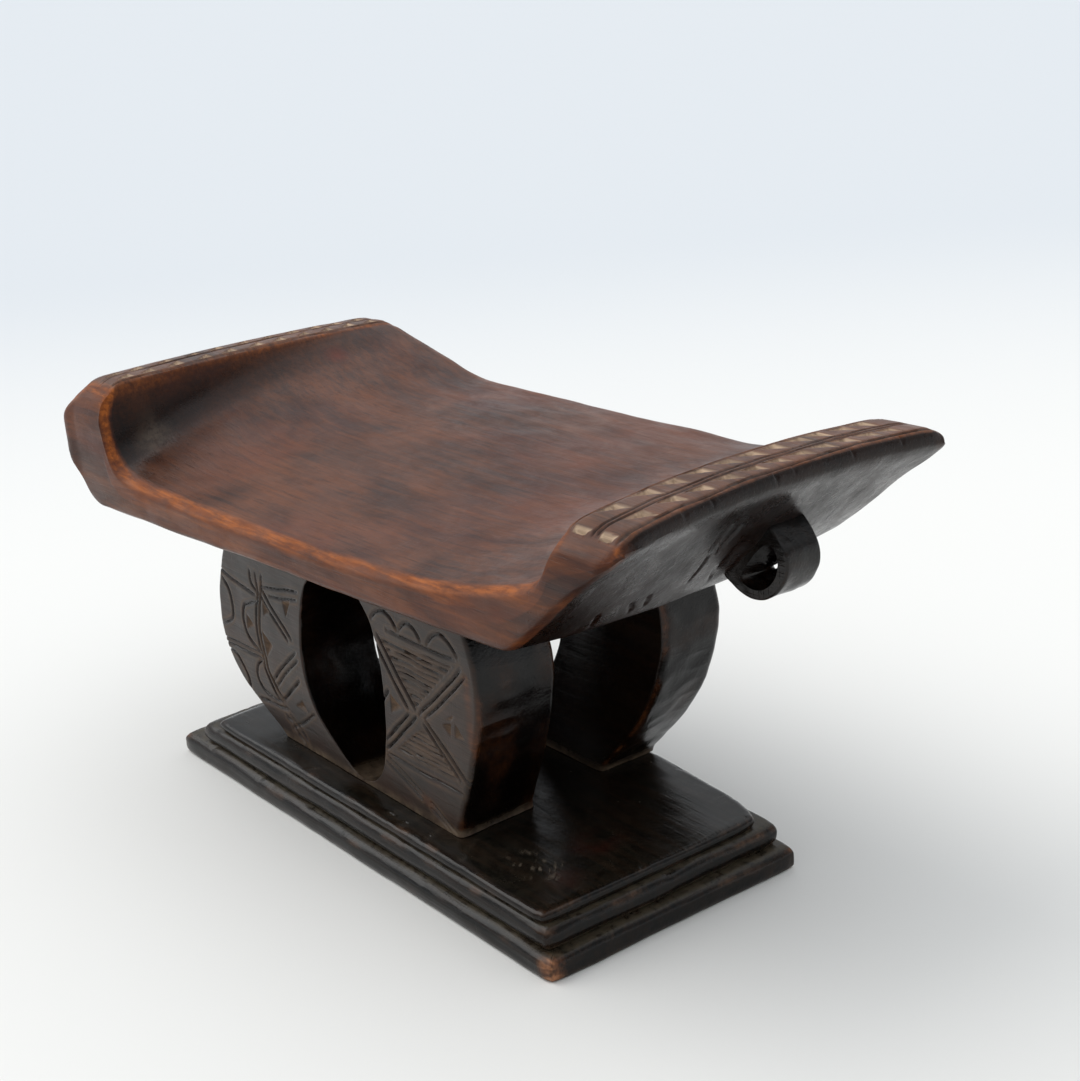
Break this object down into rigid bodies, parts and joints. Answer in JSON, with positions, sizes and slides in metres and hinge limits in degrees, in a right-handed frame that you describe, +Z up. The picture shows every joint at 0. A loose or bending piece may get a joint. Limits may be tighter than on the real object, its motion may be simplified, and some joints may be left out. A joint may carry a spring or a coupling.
{
  "type": "headrest",
  "caption": "Carved wooden headrest: dished seat with upturned, chip-carved ends, ring supports side by side on a stepped oblong base, and a pierced carrying lug.",
  "frame": {"origin": "middle of the whole piece's footprint, at the level of the floor", "axes": "+X along the seat's length, towards the end with the carrying lug; -Y towards the carved long side; +Z up"},
  "size_m": [0.338, 0.1612, 0.1622],
  "materials": {
    "seat_wood": "hand-polished satin, red-brown wood with a dark patina, worn to orange along the front edge",
    "blackened_wood": "blackened and rubbed to a soft shine",
    "support_wood": "dark satin with dusty brown incised lines",
    "base_wood": "near-black, glossy on the worn flats and dusty in the grooves"
  },
  "bodies": {
    "root": {"seat": "seat_wood", "carrying_lug": "blackened_wood", "front_support": "support_wood", "back_support": "support_wood", "base_top_slab": "base_wood", "base_middle_step": "base_wood", "base_bottom_slab": "base_wood"}
  },
  "joints": []
}
